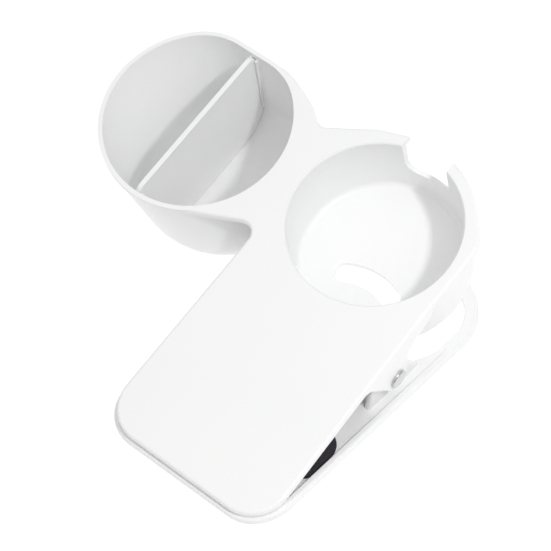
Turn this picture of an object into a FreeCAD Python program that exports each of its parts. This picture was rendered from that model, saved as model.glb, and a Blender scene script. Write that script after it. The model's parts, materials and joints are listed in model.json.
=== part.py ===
"""Clip-on table-edge cup holder: a spring clamp whose upper arm carries a mug cup and a side cup.

Millimetres. +Z is up, +X runs across the arms towards the free side, +Y runs from the jaw tip
towards the cups. The parts are drawn from the mug cup's axis at the top face of the upper arm,
then moved so that the origin is the centre of the upper pad's contact face.
"""
import FreeCAD
import Part
import math
import os

V = FreeCAD.Vector

# Mug cup
MUG_R = 45.0            # inside radius
MUG_WALL = 3.0
MUG_DEPTH = 44.0        # rim to floor
MUG_FLOOR = 2.5
RIM_R = 51.5            # outside of the rim flange
FLOOR_ROUND = 3.0
NOTCH_X = -1.2          # gap for the mug's handle
NOTCH_W = 27.6
NOTCH_DEPTH = 27.0
DRAIN_R = 31.0          # centre-line radius of the drain slot
DRAIN_W = 11.0
DRAIN_LEFT, DRAIN_RIGHT = 29.6, 23.2    # how far it reaches each way, in degrees
DRAIN_CX, DRAIN_CY = 3.6, -43.4

# Side cup: a tapered bowl with a flat back, leaning towards the mug cup as it goes down
SIDE_X, SIDE_Y = -112.2, -4.4
SIDE_R = 52.6           # outside radius at the rim
SIDE_FOOT_R = 47.0
SIDE_FLAT = 48.9        # from the axis to the flat back
SIDE_TURN = 50.0        # where the flat's rounds leave the circle, in degrees
SIDE_DEPTH = 64.0
SIDE_WALL = 2.4
SIDE_CURVE = 22.0       # radius round the foot
SIDE_LEAN = 14.5        # sideways shift of the foot
RIB_W, RIB_REACH = 1.0, 1.6

# Upper arm plate
PLATE_T = 4.0
PLATE_L, PLATE_R = -47.2, 51.0
PLATE_FLARE = 3.0       # extra reach of the right edge at the front
PLATE_FRONT = -159.2
PLATE_CORNER = 20.0

# Hinge
PIVOT_Y, PIVOT_Z = -52.0, -28.0
PIN_R = 2.5
EAR_T = 3.6
EAR_R = 8.0
EAR_GAP = 0.4
HEAD_R = 5.1
SLEEVE_R = 3.7

# Lower arm
ARM_L, ARM_R = -52.3, 56.1
JAW_L, JAW_END = -46.6, -105.0          # left edge at the tip, and where its taper ends
ARM_FRONT, ARM_BACK = -161.3, 28.0
JAW_CORNER, ARM_CORNER, LOOP_CORNER = 20.0, 22.0, 36.0
ARM_SLOPE = 0.418       # drop per unit length behind the jaw
ARM_SLOPE_Y, ARM_SLOPE_Z = -145.0, -10.0
ARM_FLOOR = 3.0
ARM_LIP = 7.0           # height of the lip over the underside
ARM_ROUND = 1.5
HOLE_ROUND = 1.0
TRAY_ROUND = 1.5
LIP_W = 3.2
RAMP_START, RAMP_END = -40.0, -16.0     # where the tray's floor rises to the lip
TIP_TOP = -4.5
TIP_BOTTOM = -9.2

# Pads
PAD_T = 2.5
PAD_FRONT, PAD_BACK = -135.0, -97.0
LOWER_PAD_FRONT, LOWER_PAD_BACK = -124.0, -93.5
PAD_CORNER = 12.0

# Point that becomes the origin
ORIGIN = V((PLATE_L + PLATE_R) / 2, (PAD_FRONT + PAD_BACK) / 2, -PLATE_T - PAD_T)

# Springs
WIRE_R = 1.0
COIL_R = 5.4
COIL_PITCH = 2.35
COIL_TURNS = 5
LEG_GAP = 0.3           # feet of the legs over the surfaces they press on
FOOT_LENGTH = 6.0

# Divider
DIVIDER_T = 2.6
DIVIDER_TOP = -0.5
DIVIDER_GAP = 0.4


def rounded(points):
    """Closed planar wire through (a, b, radius) corners, drawn in the XY plane."""
    corners = [V(p[0], p[1], 0) for p in points]
    count = len(points)
    starts, ends, mids = [], [], []
    for i, (a, b, radius) in enumerate(points):
        here = corners[i]
        back = (corners[i - 1] - here).normalize()
        ahead = (corners[(i + 1) % count] - here).normalize()
        half = back.getAngle(ahead) / 2
        run = radius / math.tan(half)
        bisector = (back + ahead).normalize()
        starts.append(here + back * run)
        ends.append(here + ahead * run)
        mids.append(here + bisector * (radius / math.sin(half) - radius))
    edges = []
    for i in range(count):
        if points[i][2] > 0:
            edges.append(Part.Arc(starts[i], mids[i], ends[i]).toShape())
        following = starts[(i + 1) % count]
        if (following - ends[i]).Length > 1e-6:
            edges.append(Part.makeLine(ends[i], following))
    return Part.Wire(edges)


def slab(points, low, high):
    """Prism between two heights over a rounded outline in plan."""
    face = Part.Face(rounded(points))
    face.translate(V(0, 0, low))
    return face.extrude(V(0, 0, high - low))


def side_plate(points, x_low, x_high):
    """Prism across X over a rounded outline given as (y, z, radius)."""
    face = Part.Face(rounded(points))
    face.rotate(V(0, 0, 0), V(1, 1, 1), 120)
    face.translate(V(x_low, 0, 0))
    return face.extrude(V(x_high - x_low, 0, 0))


def turned(points):
    """Solid of revolution about Z from (radius, z, corner radius) points."""
    face = Part.Face(rounded(points))
    face.rotate(V(0, 0, 0), V(1, 0, 0), 90)
    return face.revolve(V(0, 0, 0), V(0, 0, 1), 360)


def rod(radius, x_low, x_high):
    """Cylinder on the hinge axis."""
    return Part.makeCylinder(radius, x_high - x_low, V(x_low, PIVOT_Y, PIVOT_Z), V(1, 0, 0))


def flat_edges(shape, z):
    """Edges that lie in the plane at height z."""
    box = [(edge, edge.BoundBox) for edge in shape.Edges]
    return [edge for edge, bb in box if abs(bb.ZMin - z) < 1e-4 and abs(bb.ZMax - z) < 1e-4]


def lean(shape):
    """Shear a shape so that it leans towards +X going down, then set it at the side cup."""
    shear = FreeCAD.Matrix()
    shear.A13 = -SIDE_LEAN / SIDE_DEPTH
    out = shape.transformGeometry(shear)
    out.translate(V(SIDE_X, SIDE_Y, 0))
    return out


def flat_back(inset):
    """Corners, left to right, of the side cup's flat back and of the rounds beside it."""
    radius = SIDE_R - inset
    flat = SIDE_FLAT - inset
    turn = math.radians(SIDE_TURN)
    run = (flat - radius * math.sin(turn)) / math.cos(turn)
    blend = run / math.tan((math.pi / 2 - turn) / 2)
    across = radius * math.cos(turn) - run * math.sin(turn)
    shoulder = radius * math.tan(turn / 2)
    return [
        (-radius, shoulder, radius),
        (-across, flat, blend),
        (across, flat, blend),
        (radius, shoulder, radius),
    ]


def bowl(inset):
    """Side cup volume, set in from the outside by the given wall."""
    radius = SIDE_R - inset
    depth = SIDE_DEPTH - inset
    outline = flat_back(inset) + [(radius, -radius, radius), (-radius, -radius, radius)]
    shrink = (SIDE_FOOT_R - inset) / radius
    foot = rounded([(x * shrink, y * shrink, r * shrink) for x, y, r in outline])
    foot.translate(V(0, 0, -depth))
    body = Part.makeLoft([rounded(outline), foot], True, True)
    return lean(body.makeFillet(SIDE_CURVE - inset, flat_edges(body, -depth)))


def mug_outside():
    radius = MUG_R + MUG_WALL
    bottom = -MUG_DEPTH - MUG_FLOOR
    return turned([(0, -1, 0), (radius + 0.2, -1, 0), (radius - 0.8, bottom, 5), (0, bottom, 0)])


def mug_inside():
    """Straight cup with a flare at the rim and a round at the floor."""
    cup = turned([(0, 2, 0), (MUG_R, 2, 0), (MUG_R, -MUG_DEPTH, FLOOR_ROUND), (0, -MUG_DEPTH, 0)])
    flare = Part.makeCone(MUG_R, MUG_R + 1.2, 1.2, V(0, 0, -0.6))
    return cup.fuse(flare)


def rim_corner(waist_x, waist_y):
    """Outer corner for the arc of the side cup's rim that runs on to the web's front waist."""
    span = math.hypot(waist_x - SIDE_X, waist_y - SIDE_Y)
    heading = math.atan2(SIDE_Y - waist_y, SIDE_X - waist_x) + math.asin(SIDE_R / span)
    x = SIDE_X - SIDE_R
    return x, waist_y + (x - waist_x) * math.tan(heading), SIDE_R


def rim_tangents(first, second):
    """Corner where the mug rim's tangents at two angles in degrees meet."""
    middle = math.radians((first + second) / 2)
    reach = RIM_R / math.cos(math.radians((second - first) / 2))
    return reach * math.cos(middle), reach * math.sin(middle), RIM_R


def plate_outline():
    """Plan of the upper arm: plate, mug rim, web with its two waists, side cup rim."""
    front_waist = (PLATE_L, -32.0)
    shoulder, corner = flat_back(0)[:2]
    return [
        (PLATE_L, PLATE_FRONT, PLATE_CORNER),
        (PLATE_R + PLATE_FLARE, PLATE_FRONT, PLATE_CORNER),
        (PLATE_R, -30.0, 200.0),
        (PLATE_R, 20.4, 18.0),
        rim_tangents(42, 110),
        (-30.5, 43.9, 12.0),
        (-56.5, 28.0, 5.0),
        (-68.5, 36.6, 40.0),
        (-89.0, SIDE_Y + SIDE_FLAT, 25.0),
        (SIDE_X + corner[0], SIDE_Y + corner[1], corner[2]),
        (SIDE_X + shoulder[0], SIDE_Y + shoulder[1], shoulder[2]),
        rim_corner(*front_waist),
        (*front_waist, 7.0),
    ]


def plate():
    """Top plate with its upper edge rounded all the way round."""
    body = slab(plate_outline(), -PLATE_T, 0)
    return body.makeFillet(1.5, flat_edges(body, 0))


def upper_ear(x_low):
    """Cheek that hangs from the plate's edge and carries the pin."""
    cheek = side_plate([
        (-98.0, -2.0, 0),
        (-18.0, -2.0, 0),
        (-22.0, -9.5, 4.0),
        (-41.0, -14.5, 6.0),
        (-44.0, PIVOT_Z, 0),
        (-60.0, PIVOT_Z, 0),
        (-71.0, -8.0, 8.0),
    ], x_low, x_low + EAR_T)
    boss = rod(EAR_R, x_low, x_low + EAR_T)
    return cheek.fuse(boss).cut(rod(PIN_R + 0.02, x_low - 1, x_low + EAR_T + 1))


def notch():
    """U-shaped cut through the mug cup's back wall."""
    half = NOTCH_W / 2
    face = Part.Face(rounded([
        (-half, 5, 0),
        (half, 5, 0),
        (half, -NOTCH_DEPTH, 8.0),
        (-half, -NOTCH_DEPTH, 8.0),
    ]))
    face.rotate(V(0, 0, 0), V(1, 0, 0), 90)
    face.translate(V(NOTCH_X, 30, 0))
    return face.extrude(V(0, 30, 0))


def drain_slot():
    """Curved slot with round ends through the mug cup's floor."""
    floor = V(DRAIN_CX, DRAIN_CY, -MUG_DEPTH - MUG_FLOOR - 1)
    height = MUG_FLOOR + 2
    outer = Part.makeCylinder(DRAIN_R + DRAIN_W / 2, height, floor, V(0, 0, 1))
    inner = Part.makeCylinder(DRAIN_R - DRAIN_W / 2, height, floor, V(0, 0, 1))
    ways = []
    for angle in (-DRAIN_LEFT, DRAIN_RIGHT):
        ways.append(V(math.sin(math.radians(angle)), math.cos(math.radians(angle)), 0))
    corners = [floor, floor + ways[0] * 2 * DRAIN_R, floor + ways[1] * 2 * DRAIN_R, floor]
    wedge = Part.Face(Part.makePolygon(corners)).extrude(V(0, 0, height))
    slot = outer.cut(inner).common(wedge)
    for way in ways:
        end = Part.makeCylinder(DRAIN_W / 2, height, floor + way * DRAIN_R, V(0, 0, 1))
        slot = slot.fuse(end)
    return slot


def guide_ribs():
    """Two pairs of slim ribs on the wall that hold the divider's ends."""
    ring = bowl(SIDE_WALL / 2).cut(bowl(SIDE_WALL + RIB_REACH))
    ribs = []
    for end in (-1, 1):
        for side in (-1, 1):
            x = SIDE_X + side * (DIVIDER_T / 2 + 0.3 + RIB_W / 2) - RIB_W / 2
            y = SIDE_Y + end * 48.0 - 8.0
            ribs.append(Part.makeBox(RIB_W, 16.0, 42.0, V(x, y, -46.0)).common(ring))
    return ribs


def web_ribs():
    """Stiffening ribs under the web, between the two cups."""
    ribs = [Part.makeBox(24.0, 2.0, 20.0, V(-68.0, y, -22.0)) for y in (-16.0, -1.0, 14.0)]
    return [rib.cut([mug_inside(), bowl(SIDE_WALL)]) for rib in ribs]


def upper_arm():
    body = plate()
    body = body.fuse([mug_outside(), bowl(0), upper_ear(PLATE_L), upper_ear(PLATE_R - EAR_T)])
    body = body.fuse(web_ribs())
    body = body.cut([mug_inside(), bowl(SIDE_WALL), notch(), drain_slot()])
    body = body.fuse(guide_ribs())
    return body.removeSplitter()


def divider():
    """Thin wall that follows the inside of the side cup and lifts out."""
    front = SIDE_Y - SIDE_R + SIDE_WALL + DIVIDER_GAP
    back = SIDE_Y + SIDE_FLAT - SIDE_WALL - DIVIDER_GAP
    wall = side_plate([
        (front, DIVIDER_TOP, 5.0),
        (back, DIVIDER_TOP, 5.0),
        (back, -80.0, 0),
        (front, -80.0, 0),
    ], SIDE_X - DIVIDER_T / 2, SIDE_X + DIVIDER_T / 2)
    return wall.common(bowl(SIDE_WALL + DIVIDER_GAP))


def arm_bottom(y):
    """Height of the lower arm's underside behind the jaw tip."""
    return ARM_SLOPE_Z - ARM_SLOPE * (y - ARM_SLOPE_Y)


def arm_outline(inset):
    """Plan of the lower arm, set in by the given amount."""
    return [
        (JAW_L + inset, ARM_FRONT + inset, JAW_CORNER - inset),
        (ARM_R - inset, ARM_FRONT + inset, ARM_CORNER - inset),
        (ARM_R - inset, ARM_BACK - inset, LOOP_CORNER - inset),
        (ARM_L + inset, ARM_BACK - inset, LOOP_CORNER - inset),
        (ARM_L + inset, JAW_END, 40.0),
    ]


def arm_side():
    """Side view of the lower arm as a sloping band with a level jaw tip."""
    back = ARM_BACK + 5
    bend = ARM_SLOPE_Y + (TIP_TOP - ARM_LIP - ARM_SLOPE_Z) / -ARM_SLOPE
    return [
        (ARM_FRONT - 5, TIP_BOTTOM, 0),
        (-147.0, TIP_BOTTOM, 20.0),
        (back, arm_bottom(back), 0),
        (back, arm_bottom(back) + ARM_LIP, 0),
        (bend, TIP_TOP, 20.0),
        (ARM_FRONT - 5, TIP_TOP, 0),
    ]


def tray_hollow():
    """Space inside the lip, from the jaw tip to behind the hinge, where its floor ramps up."""
    tip = TIP_BOTTOM + ARM_FLOOR
    over = side_plate([
        (ARM_FRONT - 5, tip, 0),
        (-147.0, tip, 20.0),
        (RAMP_START, arm_bottom(RAMP_START) + ARM_FLOOR, 20.0),
        (RAMP_END, arm_bottom(RAMP_END) + ARM_LIP, 0),
        (RAMP_END, 10.0, 0),
        (ARM_FRONT - 5, 10.0, 0),
    ], ARM_L - 5, ARM_R + 5)
    hollow = slab(arm_outline(LIP_W), -80, 20).common(over)
    return hollow.makeFillet(TRAY_ROUND, rim_edges(hollow, slab(arm_outline(LIP_W + 1), -80, 20), 8.0))


def loop_hole():
    """Finger opening of the handle loop."""
    left, right = ARM_L + 8.0, ARM_R - 6.5
    return slab([
        (left, 19.0, 27.0),
        (left, -22.0, 20.0),
        (left + 17.0, -54.0, 12.0),
        (right - 17.0, -54.0, 12.0),
        (right, -22.0, 20.0),
        (right, 19.0, 27.0),
    ], -120, 20)


def lower_ear(x_low):
    """Upright that stands in the lower arm beside the upper ear."""
    fin = side_plate([
        (-72.5, arm_bottom(-72.5) + 1.0, 0),
        (-66.0, -22.5, 6.0),
        (-45.5, -21.0, 5.0),
        (-33.0, arm_bottom(-33.0) + 5.0, 4.0),
        (-31.0, arm_bottom(-31.0) + 1.0, 0),
    ], x_low, x_low + EAR_T)
    front = [e for e in fin.Edges if e.BoundBox.XLength < 1e-3 and e.CenterOfMass.y < -66.5]
    fin = fin.makeFillet(1.6, front)
    return fin.cut(rod(PIN_R + 0.08, x_low - 1, x_low + EAR_T + 1))


def rim_edges(shape, core, below=100.0):
    """Edges round the outside of a shape: neither upright, nor inside the core, nor high up."""
    found = []
    for edge in shape.Edges:
        box = edge.BoundBox
        middle = edge.valueAt((edge.FirstParameter + edge.LastParameter) / 2)
        upright = box.XLength + box.YLength < 0.01
        if not upright and middle.z < below and not core.isInside(middle, 1e-3, True):
            found.append(edge)
    return found


def hole_top_edges(body):
    """Edges where the loop's hole comes out through the band's sloping top."""
    wall = loop_hole()
    found = []
    for edge in body.Edges:
        middle = edge.valueAt((edge.FirstParameter + edge.LastParameter) / 2)
        top = arm_bottom(middle.y) + ARM_LIP
        if abs(middle.z - top) < 0.01 and wall.isInside(middle, 1e-3, True):
            found.append(edge)
    return found


def lower_arm():
    band = side_plate(arm_side(), ARM_L - 5, ARM_R + 5)
    body = slab(arm_outline(0), -120, 20).common(band)
    body = body.makeFillet(ARM_ROUND, rim_edges(body, slab(arm_outline(1.0), -120, 20)))
    body = body.cut(loop_hole())
    body = body.makeFillet(HOLE_ROUND, hole_top_edges(body))
    body = body.cut(tray_hollow())
    ears = [
        lower_ear(PLATE_L + EAR_T + EAR_GAP),
        lower_ear(PLATE_R - 2 * EAR_T - EAR_GAP),
    ]
    return body.fuse(ears).removeSplitter()


def pad_outline(left, right, front, back):
    return [
        (left, front, 4.0),
        (right, front, 4.0),
        (right, back, PAD_CORNER),
        (left, back, PAD_CORNER),
    ]


def upper_pad():
    """Flat pad glued to the underside of the plate."""
    plan = pad_outline(PLATE_L + 6.0, PLATE_R - 6.0, PAD_FRONT, PAD_BACK)
    return slab(plan, -PLATE_T - PAD_T, -PLATE_T)


def lower_pad():
    """Pad glued to the sloping floor of the lower jaw."""
    low, high = LOWER_PAD_FRONT - 5, LOWER_PAD_BACK + 5
    base = ARM_FLOOR
    band = side_plate([
        (low, arm_bottom(low) + base, 0),
        (high, arm_bottom(high) + base, 0),
        (high, arm_bottom(high) + base + PAD_T, 0),
        (low, arm_bottom(low) + base + PAD_T, 0),
    ], ARM_L, ARM_R)
    left, right = ARM_L + LIP_W + 4.0, ARM_R - LIP_W - 1.6
    plan = pad_outline(left, right, LOWER_PAD_FRONT, LOWER_PAD_BACK)
    return slab(plan, -60, 20).common(band)


def pivot_pin():
    """Steel pin with a domed head on the free side."""
    shaft = rod(PIN_R, PLATE_L - 2.0, PLATE_R + 0.1)
    head = rod(HEAD_R, PLATE_R + 0.05, PLATE_R + 1.75)
    rim = [edge for edge in head.Edges if abs(edge.BoundBox.XMin - PLATE_R - 1.75) < 1e-4]
    head = head.makeFillet(0.9, rim)
    return shaft.fuse(head).removeSplitter()


def pin_cap():
    """Push-on cap that keeps the pin in."""
    cap = rod(HEAD_R, PLATE_L - 2.6, PLATE_L - 0.05)
    rim = [edge for edge in cap.Edges if abs(edge.BoundBox.XMax - PLATE_L + 2.6) < 1e-4]
    cap = cap.makeFillet(0.9, rim)
    return cap.cut(rod(PIN_R + 0.02, PLATE_L - 2.05, PLATE_L + 1))


def ears_inside():
    """X span between the two lower ears."""
    return PLATE_L + 2 * EAR_T + EAR_GAP, PLATE_R - 2 * EAR_T - EAR_GAP


def pivot_sleeve():
    """Tube on the pin that keeps the lower ears apart and carries the springs."""
    low, high = ears_inside()
    outer = rod(SLEEVE_R, low + 0.3, high - 0.3)
    return outer.cut(rod(PIN_R + 0.05, low, high))


def leg(x, foot_z, heading):
    """Straight leg from the coil's back side to a foot that lies along a surface."""
    start = V(x, PIVOT_Y + COIL_R, PIVOT_Z)
    bend = V(x, PIVOT_Y + COIL_R, foot_z)
    knuckle = Part.makeSphere(WIRE_R * 1.05, start)
    rise = Part.makeCylinder(WIRE_R, (bend - start).Length, start, bend - start)
    foot = Part.makeCylinder(WIRE_R, FOOT_LENGTH, bend, heading)
    return knuckle.fuse([rise, Part.makeSphere(WIRE_R * 1.05, bend), foot])


def spring(x_low_leg, direction):
    """Torsion spring: close coil on the sleeve, one leg down to the lower arm and one up."""
    span = COIL_PITCH * COIL_TURNS
    rise = COIL_PITCH / (2 * math.pi * COIL_R)
    ring = Part.Wire(Part.makeCircle(WIRE_R, V(COIL_R, 0, 0), V(0, 1, rise)))
    helix = Part.makeHelix(COIL_PITCH, span, COIL_R)
    coil = Part.Wire(helix.Edges).makePipeShell([ring], True, True)
    coil.rotate(V(0, 0, 0), V(0, 1, 0), 90)
    coil.rotate(V(0, 0, 0), V(1, 0, 0), 90)
    if direction < 0:
        coil = coil.mirror(V(0, 0, 0), V(1, 0, 0))
    coil.translate(V(x_low_leg, PIVOT_Y, PIVOT_Z))
    slope = math.hypot(1, ARM_SLOPE)
    floor = arm_bottom(PIVOT_Y + COIL_R) + ARM_FLOOR
    low_leg = leg(x_low_leg, floor + (WIRE_R + LEG_GAP) * slope, V(0, 1, -ARM_SLOPE))
    high_leg = leg(x_low_leg + direction * span, -PLATE_T - WIRE_R - LEG_GAP, V(0, 1, 0))
    return coil.fuse(low_leg).fuse(high_leg)


def springs():
    low, high = ears_inside()
    return {
        "spring_right": spring(high - 1.6, -1),
        "spring_left": spring(low + 1.6, 1),
    }


def main():
    os.makedirs("parts", exist_ok=True)
    nodes = {
        "upper_arm": upper_arm(),
        "divider": divider(),
        "upper_pad": upper_pad(),
        "lower_arm": lower_arm(),
        "lower_pad": lower_pad(),
        "pivot_pin": pivot_pin(),
        "pin_cap": pin_cap(),
        "pivot_sleeve": pivot_sleeve(),
    }
    nodes.update(springs())
    for name, shape in nodes.items():
        shape.translate(-ORIGIN)
        solids = len(shape.Solids)
        print(name, shape.ShapeType, solids, shape.isValid(), round(shape.Volume / 1000, 2), "cm3")
        shape.exportStep(f"parts/{name}.step")


main()
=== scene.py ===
"""Looks of the clip-on desk cup holder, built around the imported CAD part. Metres, row frame."""
import json

import bpy
from mathutils import Matrix, Vector

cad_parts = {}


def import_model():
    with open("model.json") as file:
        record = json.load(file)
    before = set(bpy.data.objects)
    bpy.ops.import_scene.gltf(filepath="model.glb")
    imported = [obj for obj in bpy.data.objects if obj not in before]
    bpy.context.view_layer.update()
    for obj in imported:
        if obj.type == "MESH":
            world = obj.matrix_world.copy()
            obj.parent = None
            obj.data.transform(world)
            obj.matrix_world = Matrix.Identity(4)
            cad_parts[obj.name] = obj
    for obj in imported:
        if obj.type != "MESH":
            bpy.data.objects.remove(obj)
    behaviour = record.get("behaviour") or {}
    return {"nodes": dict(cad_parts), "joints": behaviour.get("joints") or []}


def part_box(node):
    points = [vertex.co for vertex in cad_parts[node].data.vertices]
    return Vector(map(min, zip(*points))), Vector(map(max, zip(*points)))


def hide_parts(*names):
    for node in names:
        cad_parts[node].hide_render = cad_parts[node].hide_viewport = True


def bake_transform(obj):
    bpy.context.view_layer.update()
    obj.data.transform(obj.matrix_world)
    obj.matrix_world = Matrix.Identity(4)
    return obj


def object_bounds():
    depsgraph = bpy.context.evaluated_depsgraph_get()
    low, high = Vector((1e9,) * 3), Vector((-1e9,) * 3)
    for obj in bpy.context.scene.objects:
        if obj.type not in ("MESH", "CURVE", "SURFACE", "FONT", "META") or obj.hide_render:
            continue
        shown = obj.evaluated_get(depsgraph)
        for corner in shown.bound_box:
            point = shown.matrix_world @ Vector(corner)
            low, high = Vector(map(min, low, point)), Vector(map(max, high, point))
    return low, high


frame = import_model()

CAD_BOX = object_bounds()
MIDDLE = (CAD_BOX[0] + CAD_BOX[1]) / 2
NODES = frame["nodes"]
HINGE = Vector(next(j for j in frame["joints"] if j["name"] == "jaw_hinge")["pos_m"])

PURE_WHITE = (1.0, 1.0, 1.0, 1.0)

# Springs: the wire's ends sit this far inside the node's box
WIRE_INSET = 0.0022

# Floor and light
FLOOR_GAP = 0.0005
FLOOR_REACH = 6.0
FLOOR_GLOW = 0.8
SKY_AT_HORIZON = 0.24
SKY_OVERHEAD = 0.92
KEY_FROM_MIDDLE = Vector((0.58, 0.14, 0.94))
KEY_SIZE = 0.09
KEY_POWER = 3.7

# Camera
LENS = 147.38
SENSOR_WIDTH = 36.0
CAMERA_AT = (0.38769, -0.21515, 1.00941)
CAMERA_TURN = ((0.77276, -0.51695, 0.36824), (0.61788, 0.7454, -0.25022), (-0.14513, 0.42089, 0.89543))


# ---------------------------------------------------------------- materials

class Nodes:
    """Small helper that adds and links the nodes of one material."""

    def __init__(self, name):
        self.material = bpy.data.materials.new(name)
        self.material.use_nodes = True
        self.tree = self.material.node_tree
        self.shader = self.tree.nodes["Principled BSDF"]
        coords = self.tree.nodes.new("ShaderNodeTexCoord")
        self.place = coords.outputs["Object"]

    def add(self, kind, links=None, **values):
        node = self.tree.nodes.new(kind)
        for key, value in values.items():
            setattr(node, key, value)
        for socket, source in (links or {}).items():
            if isinstance(source, bpy.types.NodeSocket):
                self.tree.links.new(source, node.inputs[socket])
            else:
                node.inputs[socket].default_value = source
        return node

    def noise(self, scale, detail=4.0, rough=0.55, stretch=None):
        place = self.place
        if stretch:
            mapping = self.add("ShaderNodeMapping", {"Vector": place, "Scale": stretch})
            place = mapping.outputs["Vector"]
        links = {"Vector": place, "Scale": scale, "Detail": detail, "Roughness": rough}
        return self.add("ShaderNodeTexNoise", links).outputs["Fac"]

    def span(self, source, low, high, to_low, to_high):
        links = {"Value": source, "From Min": low, "From Max": high, "To Min": to_low, "To Max": to_high}
        return self.add("ShaderNodeMapRange", links).outputs["Result"]

    def blend(self, share, first, second):
        node = self.add("ShaderNodeMix", data_type="RGBA")
        for index, source in ((0, share), (6, first), (7, second)):
            if isinstance(source, bpy.types.NodeSocket):
                self.tree.links.new(source, node.inputs[index])
            else:
                node.inputs[index].default_value = source
        return node.outputs[2]

    def bump(self, height, strength, distance):
        links = {"Height": height, "Strength": strength, "Distance": distance}
        return self.add("ShaderNodeBump", links).outputs["Normal"]

    def drive(self, **sockets):
        """Links sources, or sets plain values, on the shader's own sockets."""
        for key, source in sockets.items():
            socket = self.shader.inputs[key.replace("_", " ")]
            if isinstance(source, bpy.types.NodeSocket):
                self.tree.links.new(source, socket)
            else:
                socket.default_value = source
        return self.material


def white_plastic():
    """Injection-moulded white plastic: faint mould texture, tiny scuffs, painted shade greying the white
    in corners.
    """
    n = Nodes("white_moulded_plastic")
    cloud = n.noise(14.0, 3.0)
    grain = n.noise(2600.0, 2.0)
    scuffs = n.noise(160.0, 6.0, 0.7)
    tint = n.blend(n.span(cloud, 0.35, 0.65, 0.0, 1.0), (0.945, 0.948, 0.948, 1), (0.957, 0.957, 0.955, 1))
    # Painted shade: ambient occlusion greys the white towards (0.8, 0.795, 0.785) in corners, creases and
    # gaps between parts.
    occlusion = n.add("ShaderNodeAmbientOcclusion", {"Distance": 0.002}, samples=6)
    painted_corner_shade = n.span(occlusion.outputs["AO"], 0.2, 0.7, 0.2, 0.0)
    colour = n.blend(painted_corner_shade, tint, (0.8, 0.795, 0.785, 1))
    rough = n.span(scuffs, 0.4, 0.75, 0.3, 0.4)
    normal = n.bump(grain, 0.04, 0.00003)
    return n.drive(Base_Color=colour, Roughness=rough, Normal=normal, IOR=1.48)


def foam_rubber():
    """Charcoal closed-cell pad: pitted skin, paler where it is rubbed."""
    n = Nodes("charcoal_foam_rubber")
    cells = n.add("ShaderNodeTexVoronoi", {"Vector": n.place, "Scale": 1900.0}).outputs["Distance"]
    cloud = n.noise(60.0, 4.0)
    tint = n.blend(n.span(cloud, 0.35, 0.7, 0.0, 1.0), (0.02, 0.018, 0.024, 1), (0.045, 0.04, 0.05, 1))
    colour = n.blend(n.span(cells, 0.0, 0.35, 0.5, 0.0), tint, (0.01, 0.009, 0.012, 1))
    rough = n.span(cloud, 0.3, 0.7, 0.72, 0.88)
    normal = n.bump(cells, 0.5, 0.00025)
    return n.drive(Base_Color=colour, Roughness=rough, Normal=normal, IOR=1.45)


def steel(name, base, rough_low, rough_high, stretch):
    """Drawn or turned steel: fine lines along one way, faint dull spots."""
    n = Nodes(name)
    lines = n.noise(900.0, 3.0, 0.6, stretch=stretch)
    spots = n.noise(300.0, 5.0, 0.7)
    tint = n.blend(n.span(spots, 0.5, 0.75, 0.0, 0.7), (*base, 1), tuple(0.55 * c for c in base) + (1,))
    rough = n.span(lines, 0.3, 0.7, rough_low, rough_high)
    normal = n.bump(lines, 0.25, 0.00006)
    return n.drive(Base_Color=tint, Roughness=rough, Normal=normal, Metallic=1.0)


def sleeve_plastic():
    """Plain extruded tube: dull, with faint lines along it."""
    n = Nodes("dull_sleeve_plastic")
    lines = n.noise(500.0, 3.0, 0.6, stretch=(0.05, 1.0, 1.0))
    cloud = n.noise(40.0, 3.0)
    tint = n.blend(n.span(cloud, 0.35, 0.65, 0.0, 1.0), (0.6, 0.6, 0.59, 1), (0.68, 0.68, 0.66, 1))
    rough = n.span(lines, 0.3, 0.7, 0.45, 0.62)
    return n.drive(Base_Color=tint, Roughness=rough, Normal=n.bump(lines, 0.2, 0.00008))


def dress(obj, material):
    obj.data.materials.clear()
    obj.data.materials.append(material)


WHITE = white_plastic()
RUBBER = foam_rubber()
PIN = steel("satin_pin_steel", (0.62, 0.62, 0.63), 0.16, 0.3, (1.0, 1.0, 1.0))
WIRE = steel("drawn_spring_wire", (0.5, 0.5, 0.51), 0.3, 0.5, (1.0, 0.2, 1.0))
SLEEVE = sleeve_plastic()

LOOKS = {
    "upper_arm": WHITE,
    "divider": WHITE,
    "lower_arm": WHITE,
    "upper_pad": RUBBER,
    "lower_pad": RUBBER,
    "pivot_pin": PIN,
    "pin_cap": PIN,
    "pivot_sleeve": SLEEVE,
    "spring_right": WIRE,
    "spring_left": WIRE,
}
for name, look in LOOKS.items():
    dress(NODES[name], look)


# ---------------------------------------------------------------- springs

def twisting_spring(node, low_leg_side):
    """Copy of a spring node, dressed in wire, shown in place of the hidden node."""
    mesh = NODES[node].data.copy()
    piece = bpy.data.objects.new(node + "_wire", mesh)
    bpy.context.scene.collection.objects.link(piece)
    dress(piece, WIRE)
    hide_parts(node)
    low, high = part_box(node)
    ends = [Vector((x, HINGE.y, HINGE.z)) for x in (low.x + WIRE_INSET, high.x - WIRE_INSET)]
    if low_leg_side < 0:
        ends.reverse()
    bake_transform(piece)
    return piece


twisting_spring("spring_right", 1)
twisting_spring("spring_left", -1)


# ---------------------------------------------------------------- stage

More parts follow.
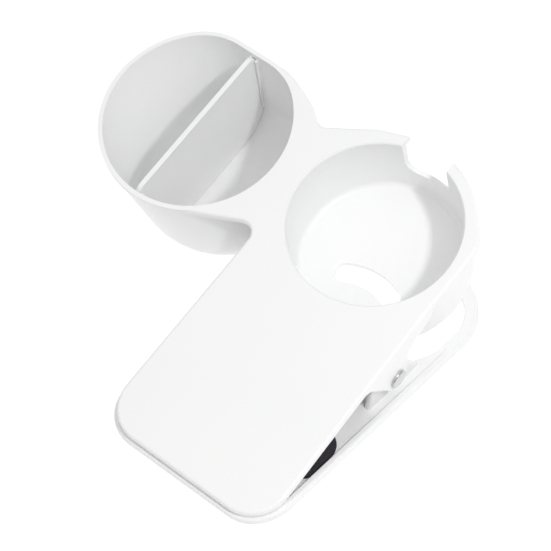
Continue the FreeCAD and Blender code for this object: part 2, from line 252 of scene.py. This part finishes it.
def floor():
    low = CAD_BOX[0].z - FLOOR_GAP
    mesh = bpy.data.meshes.new("floor")
    signs = ((-1, -1), (1, -1), (1, 1), (-1, 1))
    corners = [(x * FLOOR_REACH, y * FLOOR_REACH, low) for x, y in signs]
    mesh.from_pydata(corners, [], [(0, 1, 2, 3)])
    piece = bpy.data.objects.new("floor", mesh)
    bpy.context.scene.collection.objects.link(piece)
    n = Nodes("pale_floor")
    cloud = n.noise(3.0, 3.0)
    colour = n.blend(n.span(cloud, 0.3, 0.7, 0.0, 1.0), (0.29, 0.29, 0.29, 1), (0.31, 0.31, 0.31, 1))
    glow = {"Emission_Color": PURE_WHITE, "Emission_Strength": FLOOR_GLOW}
    dress(piece, n.drive(Base_Color=colour, Roughness=0.9, **glow))


def key_light():
    lamp = bpy.data.lights.new("key", "AREA")
    lamp.shape = "DISK"
    lamp.size = KEY_SIZE
    lamp.energy = KEY_POWER
    piece = bpy.data.objects.new("key", lamp)
    bpy.context.scene.collection.objects.link(piece)
    piece.location = MIDDLE + KEY_FROM_MIDDLE
    piece.rotation_mode = "QUATERNION"
    piece.rotation_quaternion = (-KEY_FROM_MIDDLE).to_track_quat("-Z", "Y")


def world():
    """White studio: brighter overhead than at the horizon."""
    sky = bpy.data.worlds.new("studio")
    bpy.context.scene.world = sky
    sky.use_nodes = True
    nodes, links = sky.node_tree.nodes, sky.node_tree.links
    back = nodes["Background"]
    back.inputs["Color"].default_value = PURE_WHITE
    split = nodes.new("ShaderNodeSeparateXYZ")
    links.new(nodes.new("ShaderNodeTexCoord").outputs["Generated"], split.inputs["Vector"])
    height = nodes.new("ShaderNodeMapRange")
    links.new(split.outputs["Z"], height.inputs["Value"])
    height.inputs["To Min"].default_value = SKY_AT_HORIZON
    height.inputs["To Max"].default_value = SKY_OVERHEAD
    links.new(height.outputs["Result"], back.inputs["Strength"])


def camera():
    data = bpy.data.cameras.new("camera")
    data.lens = LENS
    data.sensor_width = SENSOR_WIDTH
    data.clip_start = 0.05
    data.clip_end = 20.0
    piece = bpy.data.objects.new("camera", data)
    bpy.context.scene.collection.objects.link(piece)
    turn = Matrix(CAMERA_TURN).to_4x4()
    piece.matrix_world = Matrix.Translation(CAMERA_AT) @ turn
    bpy.context.scene.camera = piece


floor()
world()
key_light()
camera()
bpy.context.scene.view_settings.view_transform = "Standard"
